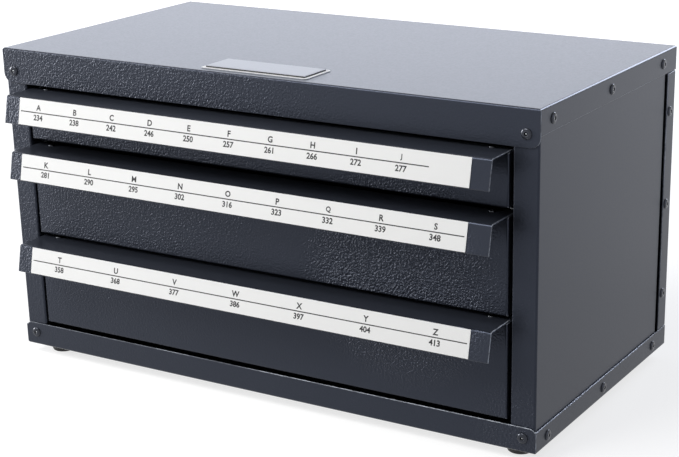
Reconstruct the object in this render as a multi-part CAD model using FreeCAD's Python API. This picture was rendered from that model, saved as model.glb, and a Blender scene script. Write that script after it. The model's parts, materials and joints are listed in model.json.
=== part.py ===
import FreeCAD, Part
import math
import os

# A small steel cabinet with three drawers of compartments, in millimetres.
# X runs to the right as one faces the drawers, Y to the back and Z up.
# The origin lies on the surface that the feet stand on, in the middle of the outline from above.

# Cabinet shell: a top cover and a bottom pan whose flanges overlap the side and back panels
cabinet_width = 371.5
cabinet_depth = 195.0
sheet = 1.0
fold = 1.4
cover_front_drop = 21.8
cover_side_drop = 15.0
cover_corner = 6.4
pan_front_rise = 15.2
pan_side_rise = 13.4
pan_corner = 4.5
stile_width = 16.6
stile_return = 12.0
side_rear_fold = 10.0
rear_slot = 1.8
back_flange = 13.1
back_panel_gap = 0.4

# Guide panels, which line the cabinet behind the stiles, carry the runners and hold the back panel's rivets
guide_hook = 9.7
guide_gap = 0.3
guide_front_set = 3.0

# Feet
foot_height = 6.5
foot_radius = 9.0
foot_taper = 1.5
foot_side_in = 17.0
foot_end_in = 16.0

# Heads of the shell's blind rivets, and where they stand
rivet_head = 6.4
rivet_head_height = 1.1
front_rivet_in = 8.3
cover_front_rivet_drop = 14.0
pan_front_rivet_rise = 8.7
cover_side_rivet_drop = 7.8
pan_side_rivet_rise = 6.4
side_rivet_front_in = 15.4
side_rivet_rear_in = 7.2
strip_rivet_in = 8.5
strip_rivet_pitch = 59.6

# Drawer stack, from the bottom up: the gap under each front, its height and its compartments
bottom_gap = 2.3
bottom_front_height = 58.6
bottom_cells = 7
middle_gap = 2.6
middle_front_height = 58.0
middle_cells = 9
top_gap = 3.8
top_front_height = 32.0
top_cells = 11
head_gap = 2.7
deep_scoop = 36.0
shallow_scoop = 20.0

# Drawer front and pull
front_side_gap = 1.95
face_recess = 0.5
front_flange = 8.0
pull_reach = 19.5
pull_lip_drop = 16.8
pull_lip_lean = 3.7
pull_fold = 1.6
pull_tail = 7.0
pull_rivet_in = 11.9
pull_rivet_set = 3.8
pull_rivet_head = 3.8
pull_rivet_head_height = 0.8

# Label strip on the lip of the pull; each is stuck on a little off the middle
label_width = 311.5
bottom_label_shift = -0.8
middle_label_shift = -2.6
top_label_shift = -0.3
label_height = 16.3
label_margin = 0.35
label_thickness = 0.2

# Tray and dividers
tray_sheet = 0.8
tray_fold = 1.6
runner_space = 12.15
rim_end_gap = 0.3
wall_step = 5.0
rim_leg = 6.0
tray_back_gap = 0.3
divider_gap = 0.1
divider_corner = 4.0
divider_heel = 1.0
ear_gap = 0.4
ear_width = 3.4
ear_height = 4.0

# Runners: channels that hold the trays' rims
runner_fold = 1.5
drawer_travel = 150.0
ledge_gap = 2.0
hold_lip_gap = 4.4
run_gap = 0.2
hold_gap = 1.2
runner_end_gap = 1.0
stop_length = 6.0
stop_gap = 0.6
travel_gap = 0.3

# Places worked out from the dimensions above
half_width = cabinet_width / 2
lip_slope = math.hypot(pull_lip_drop, pull_lip_lean)
lip_reach = pull_reach + pull_lip_lean - face_recess
label_reach = (
    pull_reach - face_recess
    + pull_lip_lean * (label_margin + label_height) / lip_slope
    + label_thickness * pull_lip_drop / lip_slope
)
front_reach = max(lip_reach, label_reach)
front_y = (front_reach - cabinet_depth) / 2
back_y = front_y + cabinet_depth
pan_z = foot_height
opening_low = pan_z + pan_front_rise
opening_high = (
    opening_low + bottom_gap + bottom_front_height + middle_gap + middle_front_height
    + top_gap + top_front_height + head_gap
)
top_z = opening_high + cover_front_drop
opening_x = half_width - stile_width
stile_y = front_y + sheet
side_x = half_width - sheet
panel_low = pan_z + fold
panel_high = top_z - fold
side_rear_y = back_y - back_flange - rear_slot
guide_x = opening_x + sheet
guide_rear_y = back_y - sheet - guide_gap
face_y = front_y + face_recess
front_x = opening_x - front_side_gap
tray_x = opening_x - runner_space
rim_x = front_x - sheet - rim_end_gap
tray_front_y = face_y + sheet
tray_rear_y = back_y - sheet - tray_back_gap
runner_front_y = stile_y + stile_return + runner_end_gap
runner_rear_y = guide_rear_y - fold - runner_end_gap
stop_rear_y = tray_rear_y - tray_sheet - drawer_travel - travel_gap


def rounded_wire(corners, place):
    """Closed wire through corners (a, b, radius); place turns (a, b) into a point in space."""
    edges = []
    starts = []
    ends = []
    count = len(corners)
    for index, (a, b, radius) in enumerate(corners):
        here = FreeCAD.Vector(a, b, 0)
        before = FreeCAD.Vector(*corners[index - 1][:2], 0)
        after = FreeCAD.Vector(*corners[(index + 1) % count][:2], 0)
        came = (here - before).normalize()
        goes = (after - here).normalize()
        reach = radius * math.tan(came.getAngle(goes) / 2)
        start = here - came * reach
        end = here + goes * reach
        starts.append(start)
        ends.append(end)
        if radius > 0:
            left = came.x * goes.y - came.y * goes.x > 0
            side = FreeCAD.Vector(-came.y, came.x, 0) * (1 if left else -1)
            centre = start + side * radius
            middle = centre + (here - centre).normalize() * radius
            edges.append((index, Part.Arc(place(start), place(middle), place(end)).toShape()))
    for index in range(count):
        low = ends[index - 1]
        high = starts[index]
        if (high - low).Length > 1e-6:
            edges.append((index - 0.5, Part.LineSegment(place(low), place(high)).toShape()))
    edges.sort(key=lambda item: item[0])
    return Part.Wire([edge for _, edge in edges])


def extrude_plan(corners, low, high):
    """Solid with its outline in X and Y, from height low to height high."""
    wire = rounded_wire(corners, lambda p: FreeCAD.Vector(p.x, p.y, low))
    return Part.Face(wire).extrude(FreeCAD.Vector(0, 0, high - low))


def extrude_side(corners, low, high):
    """Solid with its outline in Y and Z, from x low to x high."""
    wire = rounded_wire(corners, lambda p: FreeCAD.Vector(low, p.x, p.y))
    return Part.Face(wire).extrude(FreeCAD.Vector(high - low, 0, 0))


def extrude_front(corners, low, high):
    """Solid with its outline in X and Z, from y low to y high."""
    wire = rounded_wire(corners, lambda p: FreeCAD.Vector(p.x, low, p.y))
    return Part.Face(wire).extrude(FreeCAD.Vector(0, high - low, 0))


def bent_sheet(path, thickness, radius):
    """Corners of a bent strip of sheet, which lies on the left of the path; radius is each fold's outer one."""
    points = [FreeCAD.Vector(a, b, 0) for a, b in path]
    ways = [(points[i + 1] - points[i]).normalize() for i in range(len(points) - 1)]
    lefts = [FreeCAD.Vector(-way.y, way.x, 0) for way in ways]
    inner_radius = max(radius - thickness, 0.05)
    near = [(points[0].x, points[0].y, 0)]
    far = [tuple(points[0] + lefts[0] * thickness)[:2] + (0,)]
    for i in range(1, len(points) - 1):
        turns_left = ways[i - 1].x * ways[i].y - ways[i - 1].y * ways[i].x > 0
        both = lefts[i - 1] + lefts[i]
        offset = both * (thickness / (1 + lefts[i - 1].dot(lefts[i])))
        across = points[i] + offset
        near.append((points[i].x, points[i].y, radius if turns_left else inner_radius))
        far.append((across.x, across.y, inner_radius if turns_left else radius))
    near.append((points[-1].x, points[-1].y, 0))
    far.append(tuple(points[-1] + lefts[-1] * thickness)[:2] + (0,))
    return near + far[::-1]


def box(x, y, z):
    """Box between pairs of limits."""
    corner = FreeCAD.Vector(x[0], y[0], z[0])
    return Part.makeBox(x[1] - x[0], y[1] - y[0], z[1] - z[0], corner)


def face_fillet(solid, height, radius):
    """Round the straight edges that lie at one height."""
    edges = []
    for edge in solid.Edges:
        if all(abs(vertex.Z - height) < 1e-6 for vertex in edge.Vertexes):
            edges.append(edge)
    return solid.makeFillet(radius, edges)


def folded_box(width, depth, height, thickness, radius):
    """Sheet box that opens upwards from its face at z = 0, centred on the Z axis."""
    outer = box((-width / 2, width / 2), (-depth / 2, depth / 2), (0, height))
    outer = face_fillet(outer, 0, radius)
    wide = width / 2 - thickness
    deep = depth / 2 - thickness
    inner = box((-wide, wide), (-deep, deep), (thickness, 2 * height))
    inner = face_fillet(inner, thickness, max(radius - thickness, 0.05))
    return outer.cut(inner)


def moved(shape, x, y, z):
    """Copy of a shape, moved."""
    copy = shape.copy()
    copy.translate(FreeCAD.Vector(x, y, z))
    return copy


def mirrored(shape):
    """Copy of a shape on the cabinet's other side."""
    return shape.mirror(FreeCAD.Vector(0, 0, 0), FreeCAD.Vector(1, 0, 0))


def aimed(shape, at, outward):
    """Shape that was made along +Z at the origin, turned to point outward at a place."""
    turn = FreeCAD.Rotation(FreeCAD.Vector(0, 0, 1), FreeCAD.Vector(*outward))
    copy = shape.copy()
    copy.Placement = FreeCAD.Placement(FreeCAD.Vector(*at), turn)
    return copy


def rivet_heads(places, width, height):
    """Group of round rivet heads, each standing on its sheet at a place (point, outward direction)."""
    head = Part.makeCylinder(width / 2, height)
    return Part.makeCompound([aimed(head, at, outward) for at, outward in places])


def flange_rivet_places(front_z, side_z):
    """Places of the rivets through the cover's or the pan's flanges: two in front, three on each side."""
    places = []
    for side in (-1, 1):
        places.append(((side * (half_width - front_rivet_in), front_y, front_z), (0, -1, 0)))
        first = front_y + side_rivet_front_in
        last = side_rear_y - side_rivet_rear_in
        for y in (first, (first + last) / 2, last):
            places.append(((side * half_width, y, side_z), (side, 0, 0)))
    return places


def strip_rivet_places():
    """Places of the rivets through the back panel's side flanges."""
    middle = (pan_z + pan_side_rise + top_z - cover_side_drop) / 2
    places = []
    for side in (-1, 1):
        for step in (-1, 0, 1):
            z = middle + step * strip_rivet_pitch
            places.append(((side * half_width, back_y - strip_rivet_in, z), (side, 0, 0)))
    return places


def front_tab(low, high, corner, corner_low):
    """Front flange with two rounded corners, at its lower or its upper edge."""
    low_radius = corner if corner_low else 0
    high_radius = 0 if corner_low else corner
    corners = [
        (-half_width, low, low_radius),
        (half_width, low, low_radius),
        (half_width, high, high_radius),
        (-half_width, high, high_radius),
    ]
    return extrude_front(corners, front_y, front_y + sheet)


def top_cover():
    """Cover with flanges all round, the front one deeper."""
    middle_y = (front_y + back_y) / 2
    tray = folded_box(cabinet_width, cabinet_depth, cover_side_drop, sheet, fold)
    tray.rotate(FreeCAD.Vector(0, 0, 0), FreeCAD.Vector(1, 0, 0), 180)
    cover = moved(tray, 0, middle_y, top_z)
    tab = front_tab(top_z - cover_front_drop, top_z - fold, cover_corner, True)
    return cover.fuse(tab).removeSplitter()


def bottom_pan():
    """Pan with flanges all round, the front one higher."""
    middle_y = (front_y + back_y) / 2
    tray = folded_box(cabinet_width, cabinet_depth, pan_side_rise, sheet, fold)
    pan = moved(tray, 0, middle_y, pan_z)
    tab = front_tab(pan_z + fold, pan_z + pan_front_rise, pan_corner, False)
    return pan.fuse(tab).removeSplitter()


def side_panel():
    """Right side panel: its front folds round into the stile, its rear edge folds inwards."""
    path = [
        (opening_x, stile_y + stile_return),
        (opening_x, stile_y),
        (side_x, stile_y),
        (side_x, side_rear_y),
        (side_x - side_rear_fold, side_rear_y),
    ]
    return extrude_plan(bent_sheet(path, sheet, fold), panel_low, panel_high)


def back_panel():
    """Back panel, flush between the cover's and the pan's flanges; its own flanges turn forwards."""
    flange_y = back_y - back_flange
    path = [(half_width, flange_y), (half_width, back_y), (-half_width, back_y), (-half_width, flange_y)]
    low = pan_z + pan_side_rise + back_panel_gap
    high = top_z - cover_side_drop - back_panel_gap
    return extrude_plan(bent_sheet(path, sheet, fold), low, high)


def guide_panel():
    """Right guide panel: flat beside the drawers, hooked at the rear onto the back panel's flange."""
    path = [
        (side_x, guide_rear_y - guide_hook),
        (side_x, guide_rear_y),
        (guide_x, guide_rear_y),
        (guide_x, stile_y + guide_front_set),
    ]
    return extrude_plan(bent_sheet(path, sheet, fold), panel_low, panel_high)


def feet():
    """Group of the four rubber feet, tapered to their treads."""
    foot = Part.makeCone(foot_radius - foot_taper, foot_radius, foot_height)
    side = half_width - foot_side_in
    ends = (front_y + foot_end_in, back_y - foot_end_in)
    return Part.makeCompound([moved(foot, x, y, 0) for x in (-side, side) for y in ends])


def runner(rim_top):
    """Right runner: a channel round the tray's rim, with a stop that catches the rim's ear."""
    rim_low = rim_top - tray_sheet
    ledge_low = rim_low - run_gap - sheet
    lip_high = rim_top + hold_gap + sheet
    path = [
        (tray_x + ledge_gap, ledge_low),
        (guide_x, ledge_low),
        (guide_x, lip_high),
        (tray_x + hold_lip_gap, lip_high),
    ]
    channel = extrude_front(bent_sheet(path, sheet, runner_fold), runner_front_y, runner_rear_y)
    stop = box(
        (tray_x + stop_gap, tray_x + hold_lip_gap + sheet),
        (stop_rear_y - stop_length, stop_rear_y),
        (lip_high - sheet, lip_high),
    )
    return channel.fuse(stop).removeSplitter()


def drawer_front(low, high):
    """Front of a drawer: a sheet face with flanges that turn backwards."""
    height = high - sheet - low
    tray = folded_box(2 * front_x, height, front_flange, sheet, fold)
    tray.rotate(FreeCAD.Vector(0, 0, 0), FreeCAD.Vector(1, 0, 0), -90)
    return moved(tray, 0, face_y, low + height / 2)


def pull(high):
    """Full-width pull: a ledge on top of the front, and a lip that leans outwards."""
    path = [
        (face_y + pull_tail, high),
        (face_y - pull_reach, high),
        (face_y - pull_reach - pull_lip_lean, high - pull_lip_drop),
    ]
    return extrude_side(bent_sheet(path, sheet, pull_fold), -front_x, front_x)


def label(high, shift):
    """Paper strip on the outer face of the lip, shifted sideways."""
    down = FreeCAD.Vector(-pull_lip_lean, -pull_lip_drop, 0) / lip_slope
    out = FreeCAD.Vector(-pull_lip_drop, pull_lip_lean, 0) / lip_slope
    edge = FreeCAD.Vector(face_y - pull_reach, high, 0)
    start = edge + down * label_margin
    end = start + down * label_height
    corners = [start, start + out * label_thickness, end + out * label_thickness, end]
    outline = [(point.x, point.y, 0) for point in corners]
    return extrude_side(outline, shift - label_width / 2, shift + label_width / 2)


def pull_rivet_places(high):
    """Places of the two rivets that hold the pull to the front's upper flange."""
    y = face_y + pull_rivet_set
    return [((side * (front_x - pull_rivet_in), y, high), (0, 0, 1)) for side in (-1, 1)]


def tray_section(low, high, inset, scoop):
    """Tray outline in Y and Z, moved inwards by inset: a scooped front, a floor and a folded rear."""
    front = tray_front_y + inset
    rear = tray_rear_y - inset
    return [
        (front, high, 0),
        (front, low + inset, scoop - inset),
        (rear, low + inset, max(tray_fold - inset, 0.05)),
        (rear, high, 0),
    ]


def tray(low, rim_top, scoop):
    """Tray with a scooped front, out-turned rims that ride in the runners, and a stop ear on each rim."""
    wall_top = rim_top - wall_step
    wall_x = tray_x - tray_sheet
    outer = extrude_side(tray_section(low, wall_top, 0, scoop), -tray_x, tray_x)
    inner_section = tray_section(low, wall_top + tray_sheet, tray_sheet, scoop)
    body = outer.cut(extrude_side(inner_section, -wall_x, wall_x))
    rim_low = rim_top - tray_sheet
    rim_front = face_y + fold
    leg_low = wall_top - rim_leg / 2
    path = [(tray_x, leg_low), (tray_x, rim_low), (rim_x, rim_low)]
    rim = extrude_front(bent_sheet(path, tray_sheet, tray_fold), rim_front, tray_rear_y)
    ear_x = tray_x + ear_gap
    ear = box(
        (ear_x, ear_x + ear_width),
        (tray_rear_y - tray_sheet, tray_rear_y),
        (rim_low, rim_top + ear_height),
    )
    side = rim.fuse(ear)
    rear = box((-tray_x, tray_x), (tray_rear_y - tray_sheet, tray_rear_y), (leg_low, rim_low))
    return body.multiFuse([side, mirrored(side), rear]).removeSplitter()


def divider(low, rim_top, scoop, x):
    """Plate between two compartments: it follows the scoop, and its heel clears the tray's rear fold."""
    inset = tray_sheet + divider_gap
    front = tray_front_y + inset
    rear = tray_rear_y - inset
    floor = low + inset
    high = rim_top - wall_step
    corners = [
        (front, high, divider_corner),
        (front, floor, scoop - inset),
        (rear - divider_heel, floor, 0),
        (rear, floor + divider_heel, 0),
        (rear, high, 0),
    ]
    return extrude_side(corners, x - tray_sheet / 2, x + tray_sheet / 2)


pieces = {}

pieces["top_cover"] = top_cover()
pieces["bottom_pan"] = bottom_pan()
side = side_panel()
pieces["side_panel_right"] = side
pieces["side_panel_left"] = mirrored(side)
pieces["back_panel"] = back_panel()
guide = guide_panel()
pieces["guide_panel_right"] = guide
pieces["guide_panel_left"] = mirrored(guide)

cover_places = flange_rivet_places(top_z - cover_front_rivet_drop, top_z - cover_side_rivet_drop)
pan_places = flange_rivet_places(pan_z + pan_front_rivet_rise, pan_z + pan_side_rivet_rise)
pieces["cover_rivets"] = rivet_heads(cover_places, rivet_head, rivet_head_height)
pieces["pan_rivets"] = rivet_heads(pan_places, rivet_head, rivet_head_height)
pieces["back_panel_rivets"] = rivet_heads(strip_rivet_places(), rivet_head, rivet_head_height)

pieces["feet"] = feet()

drawers = [
    ("bottom", bottom_gap, bottom_front_height, bottom_cells, deep_scoop, bottom_label_shift),
    ("middle", middle_gap, middle_front_height, middle_cells, deep_scoop, middle_label_shift),
    ("top", top_gap, top_front_height, top_cells, shallow_scoop, top_label_shift),
]
drawer_low = opening_low
for name, gap_below, front_height, cells, scoop, label_shift in drawers:
    drawer_low = drawer_low + gap_below
    drawer_high = drawer_low + front_height
    tray_low = drawer_low + sheet
    rim_top = drawer_high - 2 * sheet
    rivet_places = pull_rivet_places(drawer_high)

    pieces[f"front_{name}"] = drawer_front(drawer_low, drawer_high)
    pieces[f"pull_{name}"] = pull(drawer_high)
    pieces[f"label_{name}"] = label(drawer_high, label_shift)
    pieces[f"pull_rivets_{name}"] = rivet_heads(rivet_places, pull_rivet_head, pull_rivet_head_height)
    pieces[f"tray_{name}"] = tray(tray_low, rim_top, scoop)

    cell_pitch = 2 * (tray_x - tray_sheet) / cells
    for number in range(1, cells):
        divider_x = -tray_x + tray_sheet + number * cell_pitch
        pieces[f"divider_{name}_{number}"] = divider(tray_low, rim_top, scoop, divider_x)

    right = runner(rim_top)
    pieces[f"runner_{name}_right"] = right
    pieces[f"runner_{name}_left"] = mirrored(right)
    drawer_low = drawer_high

os.makedirs("parts", exist_ok=True)
for name, shape in pieces.items():
    shape.exportStep(f"parts/{name}.step")
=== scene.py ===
"""Dresses the drill bit dispenser cabinet: enamel, rivets, printed strips, nameplate, feet and studio."""

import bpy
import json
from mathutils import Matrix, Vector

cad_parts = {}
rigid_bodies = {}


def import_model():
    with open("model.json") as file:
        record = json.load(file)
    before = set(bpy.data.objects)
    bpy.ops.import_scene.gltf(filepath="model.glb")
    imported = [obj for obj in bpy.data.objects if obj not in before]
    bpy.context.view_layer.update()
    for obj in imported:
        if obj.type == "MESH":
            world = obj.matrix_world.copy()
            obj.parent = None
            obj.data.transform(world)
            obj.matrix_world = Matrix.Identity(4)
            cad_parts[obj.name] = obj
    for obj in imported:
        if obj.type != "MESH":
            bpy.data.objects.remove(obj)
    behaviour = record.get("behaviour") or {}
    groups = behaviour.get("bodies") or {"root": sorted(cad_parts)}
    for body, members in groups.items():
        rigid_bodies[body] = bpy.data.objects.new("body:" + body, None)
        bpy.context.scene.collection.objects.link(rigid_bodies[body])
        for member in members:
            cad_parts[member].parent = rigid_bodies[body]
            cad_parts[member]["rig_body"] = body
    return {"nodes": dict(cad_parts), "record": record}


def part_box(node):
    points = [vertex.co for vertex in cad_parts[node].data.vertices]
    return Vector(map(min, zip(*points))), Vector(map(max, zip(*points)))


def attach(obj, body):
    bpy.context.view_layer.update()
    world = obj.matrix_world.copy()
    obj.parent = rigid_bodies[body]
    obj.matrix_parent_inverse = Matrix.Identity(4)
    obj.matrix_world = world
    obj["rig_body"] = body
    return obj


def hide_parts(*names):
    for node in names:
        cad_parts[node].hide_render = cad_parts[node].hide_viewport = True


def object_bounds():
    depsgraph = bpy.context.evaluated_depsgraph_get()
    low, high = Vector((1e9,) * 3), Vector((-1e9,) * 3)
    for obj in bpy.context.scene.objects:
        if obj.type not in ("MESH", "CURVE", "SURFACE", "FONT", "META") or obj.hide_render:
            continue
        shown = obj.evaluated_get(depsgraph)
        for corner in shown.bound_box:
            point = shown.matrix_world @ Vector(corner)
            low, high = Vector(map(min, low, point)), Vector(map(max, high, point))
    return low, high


bl_info = {
    "name": "Drill Bit Cabinet Looks",
    "version": (1, 0, 0),
    "blender": (4, 5, 0),
    "location": "View3D > Sidebar > Cabinet",
    "description": "Dresses a three-drawer drill bit cabinet and sets up its studio",
    "category": "Object",
}

import json
import math

import bmesh
import bpy
from mathutils import Matrix, Vector

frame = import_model()
cad_low, cad_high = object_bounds()

mm = 0.001

# Letter drills and their sizes in thousandths of an inch, one drawer after another
drill_letters = {
    "top": "ABCDEFGHIJ",
    "middle": "KLMNOPQRS",
    "bottom": "TUVWXYZ",
}
drill_sizes = {
    "top": (234, 238, 242, 246, 250, 257, 261, 266, 272, 277),
    "middle": (281, 290, 295, 302, 316, 323, 332, 339, 348),
    "bottom": (358, 368, 377, 386, 397, 404, 413),
}

# How far each strip's printed cells lie to the right of the compartments, and how much narrower they are
print_shift = {"top": 0.8 * mm, "middle": 0.4 * mm, "bottom": 0.7 * mm}
print_shrink = {"top": 0.06 * mm, "middle": 0.5 * mm, "bottom": -0.1 * mm}

# Share of the print's spread that a letter with close strokes can take without a blot
spread_shares = {"M": 0.35}

# Where the sprayed coat of the fronts is heavier: sideways place, height, reach and share of the full relief
heavy_coats = (
    (-120 * mm, 192 * mm, 150 * mm, 0.9),
    (100 * mm, 98 * mm, 56 * mm, 2.4),
    (175 * mm, 18 * mm, 28 * mm, 1.0),
)

# Share of the relief on the rest of the fronts, and on level and side faces, where the coat settles smooth
light_coat = 0.2
smooth_coat = 0.005

# Softboxes: name, heading to the right of the cabinet's front and rise above the floor in degrees,
# distance, width and height in metres, brightness where 1 is white, and colour
softboxes = (
    ("left softbox", -72, 7, 2.7, 1.35, 1.35, 14.5, "#ffffff"),
    ("high softbox", -32, 48, 1.8, 1.2, 0.9, 7.4, "#ffffff"),
    ("right softbox", 98, 14, 1.8, 0.9, 0.9, 1.3, "#ccdaff"),
    ("rear left softbox", -142, 22, 2.0, 1.9, 1.1, 1.5, "#e4ecff"),
    ("rear right softbox", 166, 24, 2.0, 0.9, 0.8, 7.5, "#e4ecff"),
)

# Corners nearer than this are one corner
same_place = 1e-6


def linear(code):
    """Linear colour and alpha of an sRGB hex code."""
    parts = [int(code[start:start + 2], 16) / 255 for start in (1, 3, 5)]
    values = [part / 12.92 if part <= 0.04045 else ((part + 0.055) / 1.055) ** 2.4 for part in parts]
    return (*values, 1.0)


def shaded(tone, share):
    """Linear colour made darker or lighter by a share."""
    return (*(value * share for value in tone[:3]), 1.0)


def colour(name, description, code):
    """Colour property with an sRGB default."""
    return bpy.props.FloatVectorProperty(
        name=name, description=description, subtype="COLOR", size=4, min=0, max=1, default=linear(code)
    )


def length(name, description, default):
    """Length property; the default is in metres."""
    return bpy.props.FloatProperty(
        name=name, description=description, default=default, unit="LENGTH", subtype="DISTANCE", precision=5
    )


class CabinetFinish(bpy.types.PropertyGroup):
    """Colours and surface sizes of the cabinet's materials."""

    enamel: colour("Enamel", "Baked enamel of the cabinet, fronts and pulls", "#272a31")
    # Darker copy of the enamel for the rivet heads, as painted shade
    rivet_enamel: colour("Rivet Enamel", "The same enamel where it runs thick on rivet heads", "#1e2026")
    # Pale colour of the painted highlight on sheared edges that face up, out or ahead
    thin_edge: colour("Thin Edge", "Enamel where it is thinnest, on sheared edges", "#d2d8e2")
    inner_enamel: colour("Inner Enamel", "Thinner enamel of the trays and dividers", "#2a2d33")
    enamel_sheen: colour("Enamel Sheen", "Tint of what the textured enamel reflects", "#d2deff")
    sleek_sheen: colour("Sleek Sheen", "Tint of what the enamel reflects on edges and rivet heads", "#e6ecff")
    zinc: colour("Zinc", "Plating of the runners", "#b4b8bb")
    # Steel darkened as painted shade for the pulls' rivets, which sit in shade behind the ledges
    bright_steel: colour("Bright Steel", "Bare heads of the pulls' rivets", "#46484c")
    # Near black as painted shade inside the rivets' bores
    bore: colour("Bore", "Inside of the rivets' bores", "#060607")
    paper: colour("Paper", "Printed strips on the pulls", "#f1f1f0")
    ink: colour("Ink", "Letters, numbers and rules", "#0b0b0d")
    rubber: colour("Rubber", "Feet", "#0c0c0d")
    foil: colour("Foil", "Nameplate on the cover", "#a5a8b0")
    enamel_grain: length("Enamel Grain", "Width of the bumps in the textured enamel", 1.3 * mm)
    enamel_relief: length("Enamel Relief", "Height of the bumps in the textured enamel", 0.16 * mm)
    inner_grain: length("Inner Grain", "Width of the ripples in the trays' enamel", 0.8 * mm)
    rivet_dust: length("Rivet Dust", "Size of the dust baked into the enamel of rivet heads", 0.7 * mm)
    # Sizes of the specks and runs that break up the painted edge highlight
    edge_speck: length("Edge Speck", "Size of the pale specks on sheared edges", 2.5 * mm)
    edge_run: length("Edge Run", "Length over which the paint of an edge runs thick and thin", 60 * mm)
    spangle: length("Spangle", "Size of the crystals in the zinc", 2.2 * mm)
    steel_mark: length("Steel Mark", "Size of the handling marks on bare rivet heads", 0.5 * mm)
    bore_soot: length("Bore Soot", "Size of the dull patches inside the rivets' bores", 0.4 * mm)
    paper_fibre: length("Paper Fibre", "Size of the mottle in the paper", 0.35 * mm)
    foil_pearl: length("Foil Pearl", "Size of the pearly grain in the nameplate's lacquer", 0.6 * mm)
    rubber_grain: length("Rubber Grain", "Size of the moulded grain of the feet", 0.4 * mm)
    edge_ease: length("Edge Ease", "Rounding of the sheets' cut edges under their paint", 0.42 * mm)
    foot_ease: length("Foot Ease", "Rounding of the feet's edges", 0.9 * mm)


class CabinetSizes(bpy.types.PropertyGroup):
    """Sizes and places of the small pieces."""

    mandrel_hole: length("Mandrel Hole", "Hole in the shell's rivet heads", 1.9 * mm)
    pull_mandrel_hole: length("Pull Mandrel Hole", "Hole in the pulls' rivet heads", 1.1 * mm)
    letter_height: length("Letter Height", "Height of the letters and numbers on the strips", 3.6 * mm)
    letter_weight: length("Letter Weight", "What the print's spread adds to each side of a stroke", 0.11 * mm)
    letter_drop: length("Letter Drop", "From a strip's upper edge to the middle of its letters", 4.9 * mm)
    rule_drop: length("Rule Drop", "From a strip's upper edge to its rule", 8.0 * mm)
    number_drop: length("Number Drop", "From a strip's upper edge to the middle of its numbers", 11.0 * mm)
    rule_width: length("Rule Width", "Thickness of the printed rules", 0.64 * mm)
    rule_margin: length("Rule Margin", "From a strip's ends to its rule", 1.4 * mm)
    rule_overrun: length("Rule Overrun", "How far a rule runs on into an empty cell", 3.4 * mm)
    ink_lift: length("Ink Lift", "Height of the print above the paper", 0.02 * mm)
    plate_width: length("Plate Width", "Nameplate, from left to right", 74 * mm)
    plate_depth: length("Plate Depth", "Nameplate, from front to back", 27.7 * mm)
    plate_inset: length("Plate Inset", "From the cover's front face to the nameplate", 5.3 * mm)
    plate_corner: length("Plate Corner", "Radius of the nameplate's corners", 2.5 * mm)
    plate_thickness: length("Plate Thickness", "Height of the nameplate's flat rim above the cover", 0.4 * mm)
    plate_border: length("Plate Border", "From the nameplate's edge to its raised panel", 2.4 * mm)
    panel_rise: length("Panel Rise", "Height of the nameplate's raised panel above the cover", 1.3 * mm)


class CabinetStudio(bpy.types.PropertyGroup):
    """Camera and light."""

    camera_place: bpy.props.FloatVectorProperty(
        name="Camera Place",
        description="From the middle of the cover's front face, at bench height, to the camera",
        subtype="TRANSLATION",
        unit="LENGTH",
        default=(0.54383, -0.76470, 0.39994),
    )
    camera_turn: bpy.props.FloatVectorProperty(
        name="Camera Turn",
        description="Tilt, roll and heading of the camera",
        subtype="EULER",
        unit="ROTATION",
        default=(math.radians(71.064), math.radians(0.592), math.radians(29.709)),
    )
    lens: bpy.props.FloatProperty(
        name="Lens", description="Focal length on a 36 mm wide sensor", default=87.86, unit="CAMERA"
    )
    shift: bpy.props.FloatVectorProperty(
        name="Shift", description="Lens shift that the framing needs", size=2, default=(-0.0985, 0.0744)
    )
    white: colour("White", "Backdrop and floor as the camera sees them", "#ffffff")
    floor: colour("Floor", "The floor's own colour under the lamps", "#a4a4a4")
    floor_glow: bpy.props.FloatProperty(
        name="Floor Glow", description="What whitens the floor near the cabinet", default=0.75, min=0
    )
    glow_start: length("Glow Start", "From the cabinet's middle to where the glow begins to rise", 0.45)
    glow_full: length("Glow Full", "From the cabinet's middle to where the glow is full", 1.5)
    floor_reach: length("Floor Reach", "From the cabinet's middle to the floor's edges", 6.0)
    room: bpy.props.FloatProperty(
        name="Room", description="Strength of the even light from all around", default=0.05, min=0
    )


def add_node(tree, kind, values=None, links=None):
    """Node of a kind in a tree; values set its inputs or its own settings, and links feed its inputs."""
    node = tree.nodes.new(kind)
    for name, value in (values or {}).items():
        if isinstance(name, int) or name in node.inputs:
            node.inputs[name].default_value = value
        else:
            setattr(node, name, value)
    for name, source in (links or {}).items():
        tree.links.new(source, node.inputs[name])
    return node


def start_material(name):
    """Empty node material, its tree and object coordinates in metres."""
    material = bpy.data.materials.new(name)
    material.use_nodes = True
    tree = material.node_tree
    tree.nodes.clear()
    place = add_node(tree, "ShaderNodeTexCoord").outputs["Object"]
    return material, tree, place


def end_material(tree, surface):
    """Send a shader to the material's output."""
    add_node(tree, "ShaderNodeOutputMaterial", links={"Surface": surface.outputs[0]})


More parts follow.
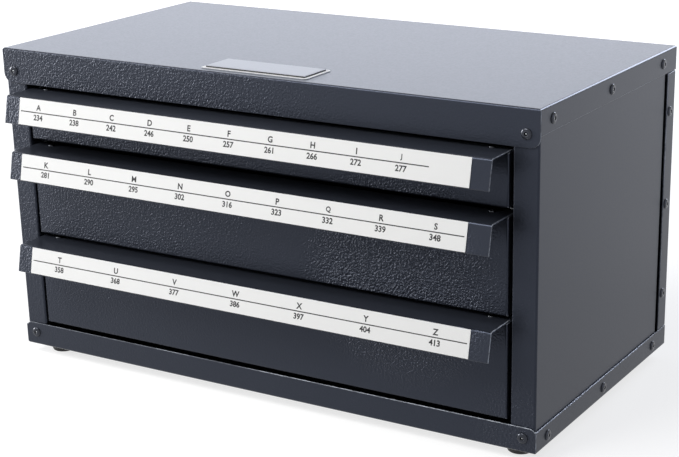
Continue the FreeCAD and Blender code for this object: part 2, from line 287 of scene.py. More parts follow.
def coat_share(tree, place, facing):
    """Share of the enamel's relief: most in the heavy places of the fronts, next to none on other faces."""
    ahead = add_node(tree, "ShaderNodeMath", {"operation": "MULTIPLY", 1: -1.0}, {0: facing["Y"]})
    fronts = add_node(
        tree, "ShaderNodeMapRange",
        {"From Min": 0.3, "From Max": 0.9, "To Min": smooth_coat}, {"Value": ahead.outputs[0]},
    )
    along = add_node(tree, "ShaderNodeSeparateXYZ", links={"Vector": place}).outputs
    flat = add_node(tree, "ShaderNodeCombineXYZ", links={"X": along["X"], "Z": along["Z"]})
    heaviest = None
    for sideways, height, reach, full in heavy_coats:
        away = add_node(
            tree, "ShaderNodeVectorMath",
            {"operation": "DISTANCE", 1: (sideways, 0, height)}, {0: flat.outputs[0]},
        )
        coat = add_node(
            tree, "ShaderNodeMapRange",
            {"From Min": reach * 0.7, "From Max": reach * 1.3, "To Min": full, "To Max": light_coat},
            {"Value": away.outputs["Value"]},
        ).outputs[0]
        if heaviest is not None:
            larger = add_node(tree, "ShaderNodeMath", {"operation": "MAXIMUM"}, {0: heaviest, 1: coat})
            coat = larger.outputs[0]
        heaviest = coat
    share = add_node(tree, "ShaderNodeMath", {"operation": "MULTIPLY"}, {0: fronts.outputs[0], 1: heaviest})
    return share.outputs[0]


def squareness(tree, normal):
    """Output that is 1 on flat walls, which face along an axis, and less over the bends between them."""
    size = add_node(tree, "ShaderNodeVectorMath", {"operation": "ABSOLUTE"}, {0: normal})
    sides = add_node(tree, "ShaderNodeSeparateXYZ", links={"Vector": size.outputs[0]}).outputs
    level = add_node(tree, "ShaderNodeMath", {"operation": "MAXIMUM"}, {0: sides["X"], 1: sides["Y"]})
    square = add_node(tree, "ShaderNodeMath", {"operation": "MAXIMUM"}, {0: level.outputs[0], 1: sides["Z"]})
    return square.outputs[0]


def textured_baked_enamel(finish):
    """Thick sprayed enamel, baked: dark slate, half glossy, its skin in soft bumps, and sleek over bends."""
    material, tree, place = start_material("textured_baked_enamel")
    normal = add_node(tree, "ShaderNodeTexCoord").outputs["Normal"]
    facing = add_node(tree, "ShaderNodeSeparateXYZ", links={"Vector": normal}).outputs
    grain = 1 / finish.enamel_grain
    bumps = add_node(
        tree, "ShaderNodeTexNoise",
        {"Scale": grain, "Detail": 2.0, "Roughness": 0.45, "Distortion": 0.35}, {"Vector": place},
    )
    shaped = add_node(
        tree, "ShaderNodeMapRange",
        {"From Min": 0.35, "From Max": 0.68, "interpolation_type": "SMOOTHSTEP"},
        {"Value": bumps.outputs["Fac"]},
    ).outputs[0]
    depth = add_node(
        tree, "ShaderNodeMath",
        {"operation": "MULTIPLY", 1: finish.enamel_relief}, {0: coat_share(tree, place, facing)},
    )
    relief = add_node(
        tree, "ShaderNodeBump", {"Strength": 1.0}, {"Height": shaped, "Distance": depth.outputs[0]}
    )
    clouds = add_node(
        tree, "ShaderNodeTexNoise", {"Scale": grain / 40, "Detail": 3.0, "Roughness": 0.5}, {"Vector": place}
    )
    tone = add_node(
        tree, "ShaderNodeMix",
        {"data_type": "RGBA", 6: shaded(finish.enamel, 0.92), 7: shaded(finish.enamel, 1.08)},
        {0: clouds.outputs["Fac"]},
    )
    dull = add_node(tree, "ShaderNodeMapRange", {"To Min": 0.305, "To Max": 0.335}, {"Value": shaped})
    sleek = add_node(
        tree, "ShaderNodeMapRange",
        {"From Min": 0.85, "From Max": 0.95, "To Min": 0.4}, {"Value": squareness(tree, normal)},
    )
    gloss = add_node(
        tree, "ShaderNodeMath", {"operation": "MULTIPLY"}, {0: dull.outputs[0], 1: sleek.outputs[0]}
    )
    surface = add_node(
        tree, "ShaderNodeBsdfPrincipled",
        {"IOR": 1.41, "Specular Tint": finish.enamel_sheen},
        {"Base Color": tone.outputs[2], "Roughness": gloss.outputs[0], "Normal": relief.outputs["Normal"]},
    )
    end_material(tree, surface)
    return material


def smooth_rivet_enamel(finish):
    """The same enamel, run smooth and glossy over a small rivet head, with a little dust baked in; its colour
    is a darker copy of the enamel's, as painted shade.
    """
    material, tree, place = start_material("smooth_rivet_enamel")
    dust = add_node(
        tree, "ShaderNodeTexNoise", {"Scale": 1 / finish.rivet_dust, "Detail": 3.0}, {"Vector": place}
    )
    gloss = add_node(
        tree, "ShaderNodeMapRange", {"To Min": 0.03, "To Max": 0.09}, {"Value": dust.outputs["Fac"]}
    )
    surface = add_node(
        tree, "ShaderNodeBsdfPrincipled",
        {"Base Color": finish.rivet_enamel, "IOR": 1.5, "Specular Tint": finish.sleek_sheen},
        {"Roughness": gloss.outputs["Result"]},
    )
    end_material(tree, surface)
    return material


def exposed_edge(tree, facing):
    """Output that is high on edges that face the light, where the pale colour goes as a painted highlight:
    level ones, and outer ones that face up or ahead.
    """
    outward = add_node(tree, "ShaderNodeMath", {"operation": "ABSOLUTE"}, {0: facing["X"]}).outputs[0]
    above = add_node(
        tree, "ShaderNodeMath", {"operation": "MULTIPLY_ADD", 1: 2.0}, {0: facing["Z"], 2: outward}
    )
    ahead = add_node(tree, "ShaderNodeMath", {"operation": "MULTIPLY", 1: -2.0}, {0: facing["Y"]})
    in_open = add_node(
        tree, "ShaderNodeMath", {"operation": "MAXIMUM"}, {0: above.outputs[0], 1: ahead.outputs[0]}
    )
    beside = add_node(tree, "ShaderNodeMath", {"operation": "MINIMUM"}, {0: in_open.outputs[0], 1: outward})
    facing_light = add_node(
        tree, "ShaderNodeMath", {"operation": "MAXIMUM"}, {0: beside.outputs[0], 1: facing["Z"]}
    )
    return facing_light.outputs[0]


def drawn_edge_enamel(finish):
    """Enamel over a sheared edge: glossy, with a pale painted highlight on edges that face up, out or ahead,
    broken by random specks and runs.
    """
    material, tree, place = start_material("drawn_edge_enamel")
    normal = add_node(tree, "ShaderNodeTexCoord").outputs["Normal"]
    facing = add_node(tree, "ShaderNodeSeparateXYZ", links={"Vector": normal}).outputs
    # Painted highlight: the pale colour goes where the edge faces up, out or ahead
    bare = add_node(
        tree, "ShaderNodeMapRange", {"From Min": 0.2, "From Max": 0.8}, {"Value": exposed_edge(tree, facing)}
    )
    patches = add_node(
        tree, "ShaderNodeTexNoise", {"Scale": 1 / finish.edge_speck, "Detail": 2.0}, {"Vector": place}
    )
    specks = add_node(
        tree, "ShaderNodeMapRange",
        {"From Min": 0.35, "From Max": 0.6, "To Min": 0.3}, {"Value": patches.outputs["Fac"]},
    )
    runs = add_node(
        tree, "ShaderNodeTexNoise", {"Scale": 1 / finish.edge_run, "Detail": 1.0}, {"Vector": place}
    )
    drawn = add_node(
        tree, "ShaderNodeMapRange",
        {"From Min": 0.42, "From Max": 0.55, "To Min": 0.25}, {"Value": runs.outputs["Fac"]},
    )
    speckled_highlight = add_node(
        tree, "ShaderNodeMath", {"operation": "MULTIPLY"}, {0: specks.outputs[0], 1: bare.outputs[0]}
    )
    # Share of the painted edge highlight, broken up by the specks and runs
    thin = add_node(
        tree, "ShaderNodeMath", {"operation": "MULTIPLY"}, {0: speckled_highlight.outputs[0], 1: drawn.outputs[0]}
    )
    tone = add_node(
        tree, "ShaderNodeMix",
        {"data_type": "RGBA", 6: finish.enamel, 7: finish.thin_edge}, {0: thin.outputs[0]},
    )
    surface = add_node(
        tree, "ShaderNodeBsdfPrincipled",
        {"Roughness": 0.32, "IOR": 1.5, "Specular Tint": finish.sleek_sheen}, {"Base Color": tone.outputs[2]},
    )
    end_material(tree, surface)
    return material


def thin_tray_enamel(finish):
    """Thin sprayed enamel over rolled sheet: the same slate, a little duller, with a fine ripple."""
    material, tree, place = start_material("thin_tray_enamel")
    ripple = add_node(
        tree, "ShaderNodeTexNoise",
        {"Scale": 1 / finish.inner_grain, "Detail": 2.0, "Roughness": 0.5}, {"Vector": place},
    )
    relief = add_node(
        tree, "ShaderNodeBump",
        {"Strength": 0.6, "Distance": finish.enamel_relief / 4}, {"Height": ripple.outputs["Fac"]},
    )
    gloss = add_node(
        tree, "ShaderNodeMapRange", {"To Min": 0.4, "To Max": 0.52}, {"Value": ripple.outputs["Fac"]}
    )
    surface = add_node(
        tree, "ShaderNodeBsdfPrincipled",
        {"Base Color": finish.inner_enamel, "IOR": 1.5},
        {"Roughness": gloss.outputs["Result"], "Normal": relief.outputs["Normal"]},
    )
    end_material(tree, surface)
    return material


def zinc_plated_steel(finish):
    """Zinc-plated rolled sheet: pale grey metal with faint crystals and a brushed, milky sheen."""
    material, tree, place = start_material("zinc_plated_steel")
    crystals = add_node(
        tree, "ShaderNodeTexVoronoi", {"Scale": 1 / finish.spangle, "Randomness": 1.0}, {"Vector": place}
    )
    tone = add_node(
        tree, "ShaderNodeMix",
        {"data_type": "RGBA", 6: shaded(finish.zinc, 0.86), 7: finish.zinc}, {0: crystals.outputs["Color"]},
    )
    sheen = add_node(
        tree, "ShaderNodeMapRange", {"To Min": 0.3, "To Max": 0.42}, {"Value": crystals.outputs["Distance"]}
    )
    surface = add_node(
        tree, "ShaderNodeBsdfPrincipled",
        {"Metallic": 1.0}, {"Base Color": tone.outputs[2], "Roughness": sheen.outputs["Result"]},
    )
    end_material(tree, surface)
    return material


def bare_rivet_steel(finish):
    """Bright drawn steel of a small rivet, its colour darkened as painted shade, since the pulls' rivets sit
    in shade: smooth metal with light handling marks.
    """
    material, tree, place = start_material("bare_rivet_steel")
    marks = add_node(
        tree, "ShaderNodeTexNoise", {"Scale": 1 / finish.steel_mark, "Detail": 4.0}, {"Vector": place}
    )
    dull = add_node(
        tree, "ShaderNodeMapRange", {"To Min": 0.2, "To Max": 0.38}, {"Value": marks.outputs["Fac"]}
    )
    surface = add_node(
        tree, "ShaderNodeBsdfPrincipled",
        {"Base Color": finish.bright_steel, "Metallic": 1.0}, {"Roughness": dull.outputs["Result"]},
    )
    end_material(tree, surface)
    return material


def oily_rivet_bore(finish):
    """Bore of a blind rivet, too deep for light to come back: painted shade in near black, with dull patches
    in its roughness.
    """
    material, tree, place = start_material("oily_rivet_bore")
    dull_patches = add_node(
        tree, "ShaderNodeTexNoise", {"Scale": 1 / finish.bore_soot, "Detail": 2.0}, {"Vector": place}
    )
    dull = add_node(
        tree, "ShaderNodeMapRange", {"To Min": 0.7, "To Max": 0.95}, {"Value": dull_patches.outputs["Fac"]}
    )
    surface = add_node(
        tree, "ShaderNodeBsdfPrincipled",
        {"Base Color": finish.bore, "IOR": 1.3, "Specular IOR Level": 0.2},
        {"Roughness": dull.outputs["Result"]},
    )
    end_material(tree, surface)
    return material


def smooth_label_paper(finish):
    """Smooth calendered paper with an adhesive back: nearly white, matt, with a trace of fibre."""
    material, tree, place = start_material("smooth_label_paper")
    fibre = add_node(
        tree, "ShaderNodeTexNoise", {"Scale": 1 / finish.paper_fibre, "Detail": 3.0}, {"Vector": place}
    )
    tone = add_node(
        tree, "ShaderNodeMix",
        {"data_type": "RGBA", 6: shaded(finish.paper, 0.96), 7: finish.paper}, {0: fibre.outputs["Fac"]},
    )
    relief = add_node(
        tree, "ShaderNodeBump", {"Strength": 0.1, "Distance": 0.01 * mm}, {"Height": fibre.outputs["Fac"]}
    )
    surface = add_node(
        tree, "ShaderNodeBsdfPrincipled",
        {"Roughness": 0.6, "IOR": 1.47}, {"Base Color": tone.outputs[2], "Normal": relief.outputs["Normal"]},
    )
    end_material(tree, surface)
    return material


def offset_printing_ink(finish):
    """Offset-printed black ink: flat and slightly uneven where the paper drinks it."""
    material, tree, place = start_material("offset_printing_ink")
    blot = add_node(tree, "ShaderNodeTexNoise", {"Scale": 1 / finish.paper_fibre}, {"Vector": place})
    tone = add_node(
        tree, "ShaderNodeMix",
        {"data_type": "RGBA", 6: finish.ink, 7: shaded(finish.ink, 2)}, {0: blot.outputs["Fac"]},
    )
    surface = add_node(
        tree, "ShaderNodeBsdfPrincipled", {"Roughness": 0.55, "IOR": 1.5}, {"Base Color": tone.outputs[2]}
    )
    end_material(tree, surface)
    return material


def moulded_black_rubber(finish):
    """Compression-moulded black rubber: matt, with a fine grain and a dusty bloom."""
    material, tree, place = start_material("moulded_black_rubber")
    grain = add_node(
        tree, "ShaderNodeTexNoise", {"Scale": 1 / finish.rubber_grain, "Detail": 4.0}, {"Vector": place}
    )
    relief = add_node(
        tree, "ShaderNodeBump", {"Strength": 0.5, "Distance": 0.04 * mm}, {"Height": grain.outputs["Fac"]}
    )
    bloom = add_node(
        tree, "ShaderNodeMix",
        {"data_type": "RGBA", 6: finish.rubber, 7: shaded(finish.rubber, 1.8)}, {0: grain.outputs["Fac"]},
    )
    surface = add_node(
        tree, "ShaderNodeBsdfPrincipled",
        {"Roughness": 0.68, "IOR": 1.52},
        {"Base Color": bloom.outputs[2], "Normal": relief.outputs["Normal"]},
    )
    end_material(tree, surface)
    return material


def silver_lacquered_plate(finish):
    """Silver-lacquered plastic of a nameplate: pale and satin, with a pearly fine grain."""
    material, tree, place = start_material("silver_lacquered_plate")
    pearl = add_node(
        tree, "ShaderNodeTexNoise", {"Scale": 1 / finish.foil_pearl, "Detail": 3.0}, {"Vector": place}
    )
    tone = add_node(
        tree, "ShaderNodeMix",
        {"data_type": "RGBA", 6: shaded(finish.foil, 0.82), 7: finish.foil}, {0: pearl.outputs["Fac"]},
    )
    relief = add_node(
        tree, "ShaderNodeBump", {"Strength": 0.4, "Distance": 0.03 * mm}, {"Height": pearl.outputs["Fac"]}
    )
    surface = add_node(
        tree, "ShaderNodeBsdfPrincipled",
        {"Roughness": 0.42, "IOR": 1.45}, {"Base Color": tone.outputs[2], "Normal": relief.outputs["Normal"]},
    )
    end_material(tree, surface)
    return material


slot_materials = {
    "cabinet_enamel": textured_baked_enamel,
    "tray_enamel": thin_tray_enamel,
    "runner_steel": zinc_plated_steel,
    "painted_rivet": smooth_rivet_enamel,
    "bright_rivet": bare_rivet_steel,
    "label_paper": smooth_label_paper,
    "rubber": moulded_black_rubber,
}


def finish_material(context, make):
    """Material that has its function's name, made once."""
    return bpy.data.materials.get(make.__name__) or make(context.scene.cabinet_finish)


def add_piece(shape, name, body, material):
    """Object for a finished bmesh in the row frame, riding on a body."""
    mesh = bpy.data.meshes.new(name)
    shape.to_mesh(mesh)
    shape.free()
    mesh.materials.append(material)
    piece = bpy.data.objects.new(name, mesh)
    bpy.context.scene.collection.objects.link(piece)
    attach(piece, body)
    return piece


def ease_edges(piece, width, segments=2, edge_material=None):
    """Join a piece's small flat faces and round its sharp edges, which may have a material of their own."""
    flat_angle = math.radians(0.5)
    sharp_angle = math.radians(35)
    weld = piece.modifiers.new("joined faces", "WELD")
    weld.merge_threshold = same_place
    whole = piece.modifiers.new("whole faces", "DECIMATE")
    whole.decimate_type = "DISSOLVE"
    whole.angle_limit = flat_angle
    ease = piece.modifiers.new("eased edges", "BEVEL")
    ease.width = width
    ease.segments = segments
    ease.limit_method = "ANGLE"
    ease.angle_limit = sharp_angle
    ease.use_clamp_overlap = False
    if edge_material:
        piece.data.materials.append(edge_material)
        ease.material = len(piece.data.materials) - 1
    shade = piece.modifiers.new("even shading", "WEIGHTED_NORMAL")
    shade.mode = "FACE_AREA"
    shade.keep_sharp = False


def islands(mesh):
    """Lowest and highest corner of each separate solid in a mesh."""
    shape = bmesh.new()
    shape.from_mesh(mesh)
    bmesh.ops.remove_doubles(shape, verts=shape.verts, dist=same_place)
    waiting = set(shape.verts)
    found = []
    for first in shape.verts:
        if first not in waiting:
            continue
        waiting.remove(first)
        reached = [first]
        for vertex in reached:
            for edge in vertex.link_edges:
                other = edge.other_vert(vertex)
                if other in waiting:
                    waiting.remove(other)
                    reached.append(other)
        corners = [vertex.co for vertex in reached]
        low = Vector([min(corner[axis] for corner in corners) for axis in range(3)])
        high = Vector([max(corner[axis] for corner in corners) for axis in range(3)])
        found.append((low, high))
    shape.free()
    return found


def head_profile(radius, height, hole):
    """Radius and height of points down a blind rivet's head: mandrel, bore, flattened dome and rim."""
    rim = height / 6
    lip = hole / 2
    floor = height * 0.1
    points = [
        (0, height * 0.7),
        (lip * 0.5, height * 0.65),
        (lip * 0.55, floor),
        (lip, floor),
        (lip, height * 0.85),
    ]
    arcs = 10
    dome_start = lip * 1.15
    for arc in range(arcs + 1):
        reach = math.sin(math.pi / 2 * arc / arcs)
        rise = (1 - reach ** 3) ** 0.6
        points.append((dome_start + (radius - dome_start) * reach, rim + (height - rim) * rise))
    points.append((radius, 0))
    return points


def turn_head(shape, profile, place, outward):
    """Add a head, turned from its profile, to a bmesh; its bore and mandrel take materials 1 and 2."""
    sides = 32
    bore, mandrel = 1, 2
    bore_rings = (0, 1, 2)
    turn = outward.to_track_quat("Z", "Y").to_matrix().to_4x4()
    matrix = Matrix.Translation(place) @ turn
    centre = shape.verts.new(matrix @ Vector((0, 0, profile[0][1])))
    rings = []
    for radius, height in profile[1:]:
        ring = []
        for side in range(sides):
            angle = 2 * math.pi * side / sides
            point = Vector((radius * math.cos(angle), radius * math.sin(angle), height))
            ring.append(shape.verts.new(matrix @ point))
        rings.append(ring)
    for side in range(sides):
        after = (side + 1) % sides
        shape.faces.new((centre, rings[0][side], rings[0][after])).material_index = mandrel
        for ring, (near, far) in enumerate(zip(rings, rings[1:])):
            face = shape.faces.new((near[side], far[side], far[after], near[after]))
            face.material_index = bore if ring in bore_rings else 0


class CABINET_OT_dress_frame(bpy.types.Operator):
    """Give each sheet, tray and foot of the frame its material and eased edges"""

    bl_idname = "cabinet.dress_frame"
    bl_label = "Dress Sheets, Trays and Feet"

    def execute(self, context):
        finish = context.scene.cabinet_finish
        for part in frame["record"]["subparts"]:
            node = frame["nodes"][part["node"]]
            material = finish_material(context, slot_materials[part["material_slot"]])
            for slot in node.material_slots:
                slot.material = material
            if part["node"] == "feet":
                ease_edges(node, finish.foot_ease, 3)
            elif part["material_slot"] == "cabinet_enamel":
                # Bevels of the enamel sheets take the enamel with the painted edge highlight
                ease_edges(node, finish.edge_ease, 2, finish_material(context, drawn_edge_enamel))
            elif part["material_slot"] != "label_paper":
                ease_edges(node, finish.edge_ease)
        return {"FINISHED"}


class CABINET_OT_rivet_heads(bpy.types.Operator):
    """Turn domed rivet heads, with bore and mandrel, in place of the frame's plain ones"""

    bl_idname = "cabinet.rivet_heads"
    bl_label = "Turn Rivet Heads"

    def execute(self, context):
        sizes = context.scene.cabinet_sizes
        for part in frame["record"]["subparts"]:
            name = part["node"]
            if "rivets" not in name:
                continue
            painted = part["material_slot"] == "painted_rivet"
            hole = sizes.mandrel_hole if painted else sizes.pull_mandrel_hole
            shape = bmesh.new()
            for low, high in islands(frame["nodes"][name].data):
                size = high - low
                axis = list(size).index(min(size))
                middle = (low + high) / 2
                outward = Vector((0, 0, 0))
                outward[axis] = 1 if middle[axis] > 0 else -1
                place = middle.copy()
                place[axis] = low[axis] if outward[axis] > 0 else high[axis]
                turn_head(shape, head_profile(max(size) / 2, min(size), hole), place, outward)
            bmesh.ops.recalc_face_normals(shape, faces=shape.faces)
            for face in shape.faces:
                face.smooth = True
            slot = part["material_slot"]
            material = finish_material(context, slot_materials[slot])
            body = frame["nodes"][name]["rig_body"]
            piece = add_piece(shape, name.replace("rivets", "rivet_heads"), body, material)
            for make in (oily_rivet_bore, zinc_plated_steel if painted else bare_rivet_steel):
                piece.data.materials.append(finish_material(context, make))
            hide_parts(name)
        return {"FINISHED"}


def strip_face(drawer):
    """Upper edge's middle, lower edge's middle and outward direction of a label strip's outer face."""
    mesh = frame["nodes"][f"label_{drawer}"].data
    outer = [face for face in mesh.polygons if face.normal.y < -0.9]
    corners = [mesh.vertices[index].co for face in outer for index in face.vertices]
    top = max(corners, key=lambda corner: corner.z)
    bottom = min(corners, key=lambda corner: corner.z)
    middle = (min(corner.x for corner in corners) + max(corner.x for corner in corners)) / 2
    return Vector((middle, top.y, top.z)), Vector((middle, bottom.y, bottom.z)), outer[0].normal.copy()


def add_words(shape, words, height, weight, matrix):
    """Add lettering to a bmesh, centred on a matrix's place; weight thickens its strokes."""
    curve = bpy.data.curves.new("lettering", "FONT")
    curve.body = words
    curve.align_x = "CENTER"
    curve.resolution_u = 3
    curve.offset = weight / height
    writer = bpy.data.objects.new("lettering", curve)
    bpy.context.scene.collection.objects.link(writer)
    bpy.context.view_layer.update()
    mesh = bpy.data.meshes.new_from_object(writer)
    low = min(vertex.co.y for vertex in mesh.vertices)
    high = max(vertex.co.y for vertex in mesh.vertices)
    scale = height / (high - low)
    centred = Matrix.Translation((0, -height / 2 - low * scale, 0))
    mesh.transform(matrix @ centred @ Matrix.Diagonal((scale, scale, scale, 1)))
    shape.from_mesh(mesh)
    bpy.data.objects.remove(writer)
    bpy.data.curves.remove(curve)
    bpy.data.meshes.remove(mesh)


class CABINET_OT_print_strips(bpy.types.Operator):
    """Print the letters, sizes and rules on the paper strips"""

    bl_idname = "cabinet.print_strips"
    bl_label = "Print Label Strips"

    def execute(self, context):
        sizes = context.scene.cabinet_sizes
        ink = finish_material(context, offset_printing_ink)
        for drawer, letters in drill_letters.items():
            top, bottom, outward = strip_face(drawer)
            down = (bottom - top).normalized()
            across = Vector((1, 0, 0))
            tilt = Matrix((across, -down, outward)).transposed().to_4x4()
            low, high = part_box(f"label_{drawer}")
            cells = 1 + sum(name.startswith(f"divider_{drawer}_") for name in frame["nodes"])
            pitch = (high.x - low.x) / cells
            shape = bmesh.new()
            for number, (letter, drill_size) in enumerate(zip(letters, drill_sizes[drawer])):
                for words, drop in ((letter, sizes.letter_drop), (str(drill_size), sizes.number_drop)):
                    place = top + down * drop + outward * sizes.ink_lift
                    place.x = (low.x + high.x) / 2 + print_shift[drawer]
                    place.x += (number + 0.5 - cells / 2) * (pitch - print_shrink[drawer])
                    weight = sizes.letter_weight * spread_shares.get(words, 1)
                    add_words(shape, words, sizes.letter_height, weight, Matrix.Translation(place) @ tilt)
            rule_start = low.x + sizes.rule_margin
            rule_end = high.x - sizes.rule_margin
            if len(letters) < cells:
                rule_end = high.x - pitch + sizes.rule_overrun
            upper = top + down * (sizes.rule_drop - sizes.rule_width / 2) + outward * sizes.ink_lift
            lower = upper + down * sizes.rule_width
            corners = [
                (rule_start, lower.y, lower.z),
                (rule_end, lower.y, lower.z),
                (rule_end, upper.y, upper.z),
                (rule_start, upper.y, upper.z),
            ]
            shape.faces.new([shape.verts.new(corner) for corner in corners])
            add_piece(shape, f"print_{drawer}", f"drawer_{drawer}", ink)
        return {"FINISHED"}


def rounded_outline(width, depth, corner, middle, height):
    """Points of a rounded rectangle in X and Y, anticlockwise."""
    arcs = 6
    points = []
    for quarter, (sign_x, sign_y) in enumerate(((1, -1), (1, 1), (-1, 1), (-1, -1))):
        across = sign_x * (width / 2 - corner)
        along = sign_y * (depth / 2 - corner)
        centre = Vector((middle.x + across, middle.y + along, height))
        for arc in range(arcs + 1):
            angle = math.pi / 2 * (quarter - 1 + arc / arcs)
            points.append(centre + Vector((math.cos(angle), math.sin(angle), 0)) * corner)
    return points


class CABINET_OT_nameplate(bpy.types.Operator):
    """Lay the bare nameplate, with its white rim and raised panel, on the cover"""

    bl_idname = "cabinet.nameplate"
    bl_label = "Add Nameplate"

    def execute(self, context):
        sizes = context.scene.cabinet_sizes
        low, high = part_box("top_cover")
        middle = Vector((0, low.y + sizes.plate_inset + sizes.plate_depth / 2, 0))
        rim = sizes.plate_thickness
        panel = sizes.panel_rise
        border = sizes.plate_border
        soft = rim / 3
        least_corner = 0.3 * mm
        levels = (
            (0, 0),
            (0, rim - soft),
            (soft, rim),
            (border, rim),
            (border + soft, panel - soft),
            (border + 2 * soft, panel),
            (border + 8 * soft, panel + soft),
        )
        # The raised panel's wall takes the black ink as painted shade along the panel's foot; the rim takes
        # the white paper
        rim_ring, shaded_wall_ring = 2, 3
        ink, paper = 1, 2
        shape = bmesh.new()
        rings = []
        for inward, rise in levels:
            outline = rounded_outline(
                sizes.plate_width - 2 * inward,
                sizes.plate_depth - 2 * inward,
                max(sizes.plate_corner - inward, least_corner),
                middle,
                high.z + rise,
            )
            rings.append([shape.verts.new(point) for point in outline])
        count = len(rings[0])
        for ring, (near, far) in enumerate(zip(rings, rings[1:])):
            for index in range(count):
                after = (index + 1) % count
                face = shape.faces.new((near[index], near[after], far[after], far[index]))
                face.material_index = {rim_ring: paper, shaded_wall_ring: ink}.get(ring, 0)
        shape.faces.new(rings[-1])
        foil = finish_material(context, silver_lacquered_plate)
        plate = add_piece(shape, "nameplate", "cabinet", foil)
        for make in (offset_printing_ink, smooth_label_paper):
            plate.data.materials.append(finish_material(context, make))
        return {"FINISHED"}


def add_softbox(name, heading, rise, distance, width, height, brightness, tint):
    """Rectangular lamp that faces the cabinet, which the camera doesn't see."""
    turn, climb = math.radians(heading), math.radians(rise)
    aim = Vector((0, 0, (cad_low.z + cad_high.z) / 2))
    level = Vector((math.sin(turn), -math.cos(turn), 0))
    away = level * math.cos(climb) + Vector((0, 0, math.sin(climb)))
    lamp = bpy.data.lights.new(name, "AREA")
    lamp.shape = "RECTANGLE"
    lamp.size, lamp.size_y = width, height
    lamp.energy = math.pi * width * height * brightness
    lamp.color = linear(tint)[:3]
    softbox = bpy.data.objects.new(name, lamp)
    bpy.context.scene.collection.objects.link(softbox)
    softbox.location = aim + away * distance
    softbox.rotation_euler = away.to_track_quat("Z", "Y").to_euler()
    softbox.visible_camera = False


def seen_directly(tree):
    """Output that is 1 for what is seen, also by reflection or through glass, and 0 for light on things."""
    rays = add_node(tree, "ShaderNodeLightPath").outputs
    seen = rays["Is Camera Ray"]
    for kind in ("Is Glossy Ray", "Is Transmission Ray"):
        seen = add_node(tree, "ShaderNodeMath", {"operation": "MAXIMUM"}, {0: seen, 1: rays[kind]}).outputs[0]
    return seen


def add_camera(scene, studio):
    """Camera that sees the cabinet as the photograph does."""
    camera = bpy.data.cameras.new("camera")
    camera.sensor_width = 36
    camera.lens = studio.lens
    camera.shift_x, camera.shift_y = studio.shift
    camera.clip_start = 0.01
    holder = bpy.data.objects.new("camera", camera)
    scene.collection.objects.link(holder)
    cover_front = Vector((0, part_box("top_cover")[0].y, 0))
    holder.location = cover_front + Vector(studio.camera_place)
    holder.rotation_euler = studio.camera_turn
    scene.camera = holder


def add_backdrop(scene, studio):
    """World that looks white and lights things with a faint even light."""
    world = bpy.data.worlds.new("white room")
    scene.world = world
    world.use_nodes = True
    tree = world.node_tree
    tree.nodes.clear()
    strength = add_node(tree, "ShaderNodeMapRange", {"To Min": studio.room}, {"Value": seen_directly(tree)})
    sky = add_node(
        tree, "ShaderNodeBackground", {"Color": studio.white}, {"Strength": strength.outputs["Result"]}
    )
    add_node(tree, "ShaderNodeOutputWorld", links={"Surface": sky.outputs[0]})


def white_floor(studio):
    """White studio floor: matt, and lit enough to look white apart from the cabinet's shadow."""
    material, tree, place = start_material("white_floor")
    away = add_node(tree, "ShaderNodeVectorMath", {"operation": "LENGTH"}, {0: place})
    lift = add_node(
        tree, "ShaderNodeMapRange",
        {
            "From Min": studio.glow_start,
            "From Max": studio.glow_full,
            "To Min": studio.floor_glow,
            "interpolation_type": "SMOOTHSTEP",
        },
        {"Value": away.outputs["Value"]},
    )
    glow = add_node(
        tree, "ShaderNodeMath", {"operation": "MULTIPLY"}, {0: lift.outputs["Result"], 1: seen_directly(tree)}
    )
    surface = add_node(
        tree, "ShaderNodeBsdfPrincipled",
        {
            "Base Color": studio.floor,
            "Roughness": 1.0,
            "Specular IOR Level": 0.0,
            "Emission Color": studio.white,
        },
        {"Emission Strength": glow.outputs[0]},
    )
    end_material(tree, surface)
    return material


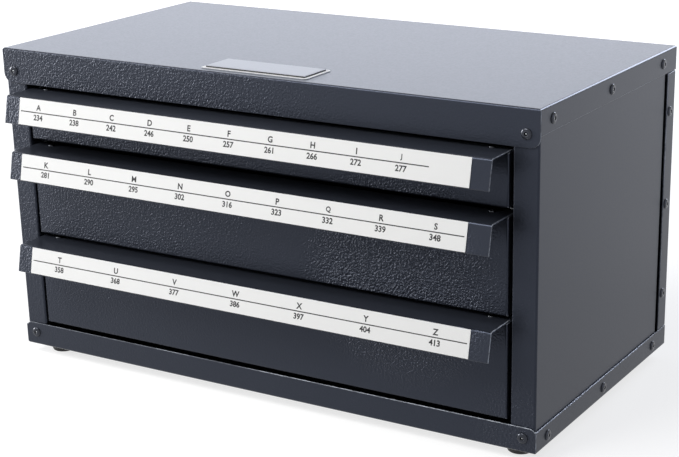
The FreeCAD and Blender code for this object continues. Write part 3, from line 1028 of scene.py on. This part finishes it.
def add_floor(scene, studio):
    """Level floor under the feet."""
    mesh = bpy.data.meshes.new("floor")
    reach = studio.floor_reach
    corners = [(-reach, -reach, 0), (reach, -reach, 0), (reach, reach, 0), (-reach, reach, 0)]
    mesh.from_pydata(corners, [], [(0, 1, 2, 3)])
    mesh.materials.append(white_floor(studio))
    floor = bpy.data.objects.new("floor", mesh)
    scene.collection.objects.link(floor)


class CABINET_OT_studio(bpy.types.Operator):
    """Set up the camera, the white floor and backdrop, and the softboxes"""

    bl_idname = "cabinet.studio"
    bl_label = "Set Up Studio"

    def execute(self, context):
        studio = context.scene.cabinet_studio
        context.scene.view_settings.view_transform = "Standard"
        add_camera(context.scene, studio)
        add_backdrop(context.scene, studio)
        add_floor(context.scene, studio)
        for softbox in softboxes:
            add_softbox(*softbox)
        return {"FINISHED"}


class CABINET_PT_sidebar(bpy.types.Panel):
    """List the cabinet's finishes, sizes and studio, and its steps"""

    bl_label = "Drill Bit Cabinet"
    bl_space_type = "VIEW_3D"
    bl_region_type = "UI"
    bl_category = "Cabinet"

    def draw(self, context):
        for group_name, group in groups.items():
            box = self.layout.box()
            for name in group.__annotations__:
                box.prop(getattr(context.scene, group_name), name)
        for step in steps:
            self.layout.operator(step.bl_idname)


steps = (
    CABINET_OT_dress_frame,
    CABINET_OT_rivet_heads,
    CABINET_OT_print_strips,
    CABINET_OT_nameplate,
    CABINET_OT_studio,
)
groups = {
    "cabinet_finish": CabinetFinish,
    "cabinet_sizes": CabinetSizes,
    "cabinet_studio": CabinetStudio,
}


def register():
    """Register the classes and hang the property groups on the scene."""
    for name, group in groups.items():
        bpy.utils.register_class(group)
        setattr(bpy.types.Scene, name, bpy.props.PointerProperty(type=group))
    for step in steps:
        bpy.utils.register_class(step)
    bpy.utils.register_class(CABINET_PT_sidebar)


def unregister():
    """Undo register."""
    bpy.utils.unregister_class(CABINET_PT_sidebar)
    for step in reversed(steps):
        bpy.utils.unregister_class(step)
    for name, group in groups.items():
        delattr(bpy.types.Scene, name)
        bpy.utils.unregister_class(group)


def main():
    """Dress the cabinet step by step."""
    register()
    for step in steps:
        space, name = step.bl_idname.split(".")
        getattr(getattr(bpy.ops, space), name)()


if __name__ == "__main__":
    main()
